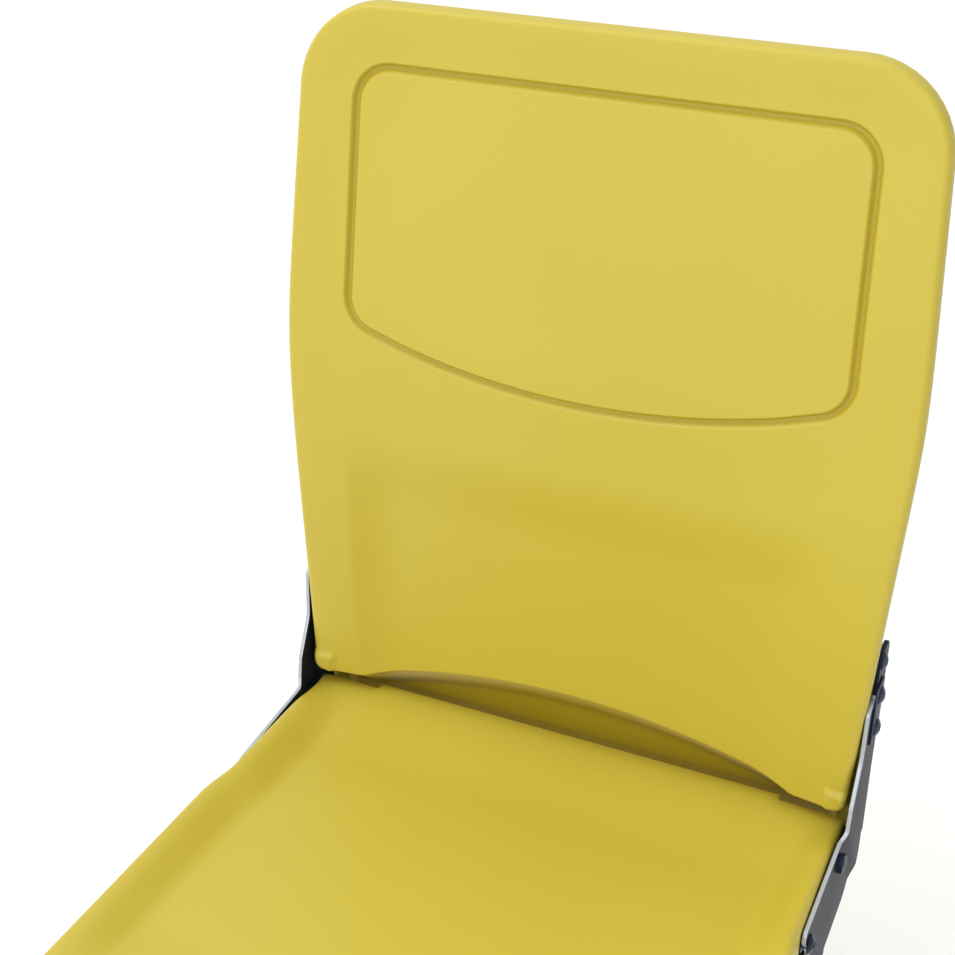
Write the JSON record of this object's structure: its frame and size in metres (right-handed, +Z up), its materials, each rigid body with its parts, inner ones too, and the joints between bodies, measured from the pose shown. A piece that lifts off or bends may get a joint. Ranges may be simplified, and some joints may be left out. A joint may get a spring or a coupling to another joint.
{
  "type": "stadium seat",
  "caption": "Tip-up stadium seat with a tall moulded backrest and a dished seat pan, held by pressed side plates on a floor-standing frame.",
  "frame": {"origin": "middle of the bounding box in plan, on the floor under the feet", "axes": "+X to the right of someone facing the seat, +Y to the rear, +Z up; the sitter faces -Y"},
  "size_m": [0.451, 0.4926, 0.927],
  "materials": {
    "yellow_plastic": "satin, fine grain",
    "dark_paint": "satin powder coat",
    "zinc": "zinc plated",
    "navy_plastic": "matt",
    "black_plastic": "matt",
    "nylon": "matt",
    "rubber": "matt",
    "brass": "turned"
  },
  "bodies": {
    "frame": {"back_shell": "yellow_plastic", "cross_beam": "dark_paint", "side_plate_right": "dark_paint", "clamp_pad_right": "navy_plastic", "back_insert_upper_right": "brass", "back_insert_middle_right": "brass", "back_insert_lower_right": "brass", "back_screw_upper_right": "zinc", "back_screw_middle_right": "zinc", "back_screw_lower_right": "zinc", "pivot_bolt_right": "dark_paint", "pivot_nut_right": "dark_paint", "stop_bolt_right": "dark_paint", "stop_nut_right": "dark_paint", "stop_buffer_right": "rubber", "beam_cap_right": "black_plastic", "beam_bolt_front_right": "zinc", "beam_bolt_rear_right": "zinc", "beam_nut_front_right": "zinc", "beam_nut_rear_right": "zinc", "leg_right": "dark_paint", "foot_right": "dark_paint", "gusset_front_right": "dark_paint", "gusset_rear_right": "dark_paint", "side_plate_left": "dark_paint", "clamp_pad_left": "navy_plastic", "back_insert_upper_left": "brass", "back_insert_middle_left": "brass", "back_insert_lower_left": "brass", "back_screw_upper_left": "zinc", "back_screw_middle_left": "zinc", "back_screw_lower_left": "zinc", "pivot_bolt_left": "dark_paint", "pivot_nut_left": "dark_paint", "stop_bolt_left": "dark_paint", "stop_nut_left": "dark_paint", "stop_buffer_left": "rubber", "beam_cap_left": "black_plastic", "beam_bolt_front_left": "zinc", "beam_bolt_rear_left": "zinc", "beam_nut_front_left": "zinc", "beam_nut_rear_left": "zinc", "leg_left": "dark_paint", "foot_left": "dark_paint", "gusset_front_left": "dark_paint", "gusset_rear_left": "dark_paint"},
    "seat": {"seat_pan": "yellow_plastic", "pivot_bush_right": "nylon", "pivot_bush_left": "nylon"}
  },
  "joints": [
    {"name": "seat_tip", "type": "hinge", "parent": "frame", "child": "seat", "pos_m": [0, 0.12975, 0.3925], "axis": [-1, 0, 0], "range_deg": [0, 90]}
  ]
}
